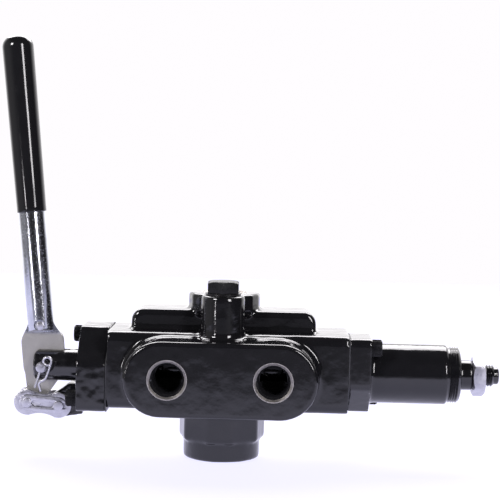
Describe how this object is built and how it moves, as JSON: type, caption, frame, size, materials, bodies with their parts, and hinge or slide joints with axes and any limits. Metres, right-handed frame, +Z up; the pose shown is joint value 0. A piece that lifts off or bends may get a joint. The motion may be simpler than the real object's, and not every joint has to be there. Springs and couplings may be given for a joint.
{
  "type": "hydraulic monoblock valve",
  "caption": "Hydraulic monoblock directional valve in a black casting, with a hand lever on a chain link, a detent housing, an adjustable detent and a relief valve.",
  "frame": {"origin": "centre of the inlet port's mouth, on the bottom face the valve rests on", "axes": "+X along the spool towards the detent housing, +Y to the back away from the work ports, +Z up through the outlet port"},
  "size_m": [0.2985, 0.0699, 0.2476],
  "materials": {
    "cast_black": "gloss black enamel over rough casting",
    "black_steel": "black oxide or black enamel over machined steel",
    "screw_black": "black oxide",
    "zinc": "bright zinc plate",
    "lever_zinc": "zinc-plated tube",
    "vinyl": "black dipped vinyl",
    "ground_steel": "ground hard chrome and hardened steel",
    "spring_steel": "spring steel",
    "seal_rubber": "nitrile",
    "gasket_grey": "fibre gasket",
    "copper_washer": "annealed copper"
  },
  "bodies": {
    "root": {"valve_body": "cast_black", "end_cap_left": "cast_black", "end_cap_gasket": "gasket_grey", "end_cap_screws": "screw_black", "detent_housing": "cast_black", "housing_gasket": "gasket_grey", "detent_housing_screws": "screw_black", "spool_wiper": "seal_rubber", "spool_seal_left": "seal_rubber", "spool_seal_right": "seal_rubber", "relief_plug": "black_steel", "relief_plug_washer": "copper_washer", "relief_seat": "ground_steel", "relief_spring": "spring_steel", "relief_shims": "ground_steel", "jam_nut": "zinc", "detent_sleeve": "ground_steel", "detent_spring": "spring_steel", "detent_spring_seat": "ground_steel", "centering_spring_pack": "spring_steel"},
    "spool": {"spool": "black_steel", "spool_tail": "ground_steel", "detent_ball_carrier": "ground_steel", "detent_balls": "ground_steel", "detent_cone": "ground_steel", "clevis_pin": "zinc", "hairpin_cotter": "zinc"},
    "lever": {"lever": "lever_zinc", "grip": "vinyl", "lever_rivet": "zinc"},
    "chain_link": {"link_plate_front": "zinc", "link_plate_rear": "zinc", "link_pins": "zinc", "link_spring_clip": "zinc", "link_spacers": "zinc"},
    "relief_poppet": {"relief_poppet": "ground_steel"},
    "adjust_screw": {"adjust_screw": "black_steel"}
  },
  "joints": [
    {"name": "spool_slide", "type": "slide", "parent": "root", "child": "spool", "axis": [1, 0, 0], "range_m": [-0.00635, 0.00635], "stiffness_N_per_m": 3000, "deforming": ["centering_spring_pack", "detent_spring"]},
    {"name": "lever_pivot", "type": "hinge", "parent": "spool", "child": "lever", "pos_m": [-0.1068, 0, 0.0523], "axis": [0, 1, 0], "range_deg": [-16.6, 16.6]},
    {"name": "link_swing", "type": "hinge", "parent": "root", "child": "chain_link", "pos_m": [-0.0969, 0, 0.02912], "axis": [0, 1, 0], "range_deg": [-7.8, 7.8]},
    {"name": "relief_lift", "type": "slide", "parent": "root", "child": "relief_poppet", "axis": [0, 0, 1], "range_m": [0, 0.0015], "stiffness_N_per_m": 4000, "springref_m": -0.006, "deforming": ["relief_spring"]},
    {"name": "adjust_screw_turn", "type": "hinge", "parent": "root", "child": "adjust_screw", "pos_m": [0.15, 0, 0.0523], "axis": [1, 0, 0], "range_deg": [-180, 180]}
  ],
  "couplings": [
    {"joint": "lever_pivot", "follows": "spool_slide", "rad_per_m": 45},
    {"joint": "link_swing", "follows": "spool_slide", "rad_per_m": 21}
  ]
}
